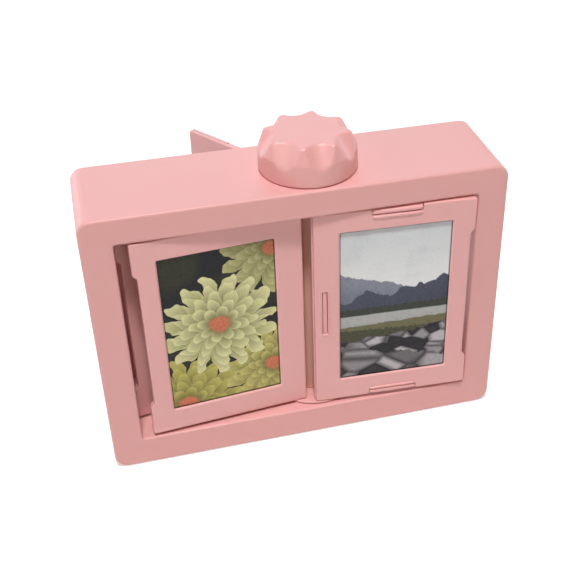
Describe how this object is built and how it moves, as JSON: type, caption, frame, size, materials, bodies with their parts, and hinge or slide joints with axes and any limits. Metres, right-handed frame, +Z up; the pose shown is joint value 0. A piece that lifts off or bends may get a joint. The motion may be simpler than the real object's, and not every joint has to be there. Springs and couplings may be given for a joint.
{
  "type": "rotating photo frame",
  "caption": "Open box desk frame with a scalloped knob on top that turns a spool of hinged, two-sided photo pages shown in its front window like an open book",
  "frame": {"origin": "on the bottom face on which the case stands, at the middle of its width and in line with the spool", "axes": "+X to the right along the front, +Y to the back (the window faces -Y), +Z up through the knob"},
  "size_m": [0.184, 0.1013, 0.1498],
  "materials": {
    "pink_case": "satin moulded",
    "pink_page": "satin moulded",
    "pink_knob": "satin moulded",
    "print_paper": "glossy photo print",
    "screw_steel": "zinc plated",
    "white_bush": "plain"
  },
  "bodies": {
    "case": {"front_shell": "pink_case", "rear_liner": "pink_case", "case_screw_1": "screw_steel", "case_screw_2": "screw_steel", "case_screw_3": "screw_steel", "case_screw_4": "screw_steel", "case_screw_5": "screw_steel", "case_screw_6": "screw_steel", "top_bush": "white_bush"},
    "spool": {"lower_flange": "pink_case", "upper_flange": "pink_case", "spool_column": "pink_case", "shaft": "screw_steel", "knob": "pink_knob"},
    "page_1": {"page_1_plain_half": "pink_page", "page_1_slotted_half": "pink_page", "page_1_plain_print": "print_paper", "page_1_slotted_print": "print_paper"},
    "page_2": {"page_2_plain_half": "pink_page", "page_2_slotted_half": "pink_page", "page_2_plain_print": "print_paper", "page_2_slotted_print": "print_paper"},
    "page_3": {"page_3_plain_half": "pink_page", "page_3_slotted_half": "pink_page", "page_3_plain_print": "print_paper", "page_3_slotted_print": "print_paper"},
    "page_4": {"page_4_plain_half": "pink_page", "page_4_slotted_half": "pink_page", "page_4_plain_print": "print_paper", "page_4_slotted_print": "print_paper"}
  },
  "joints": [
    {"name": "spool_spin", "type": "hinge", "parent": "case", "child": "spool", "pos_m": [0.008, 0, 0], "axis": [0, 0, 1], "range_deg": [-90, 0]},
    {"name": "page_1_hinge", "type": "hinge", "parent": "spool", "child": "page_1", "pos_m": [-0.00323, -0.01545, 0.0165], "axis": [0, 0, 1], "range_deg": [-7, 125]},
    {"name": "page_2_hinge", "type": "hinge", "parent": "spool", "child": "page_2", "pos_m": [0.008, -0.0191, 0.0165], "axis": [0, 0, 1], "range_deg": [-155, 45]},
    {"name": "page_3_hinge", "type": "hinge", "parent": "spool", "child": "page_3", "pos_m": [-0.01017, 0.0059, 0.0165], "axis": [0, 0, 1], "range_deg": [-18, 7]},
    {"name": "page_4_hinge", "type": "hinge", "parent": "spool", "child": "page_4", "pos_m": [0.008, 0.0191, 0.0165], "axis": [0, 0, 1], "range_deg": [-110, 50]}
  ]
}
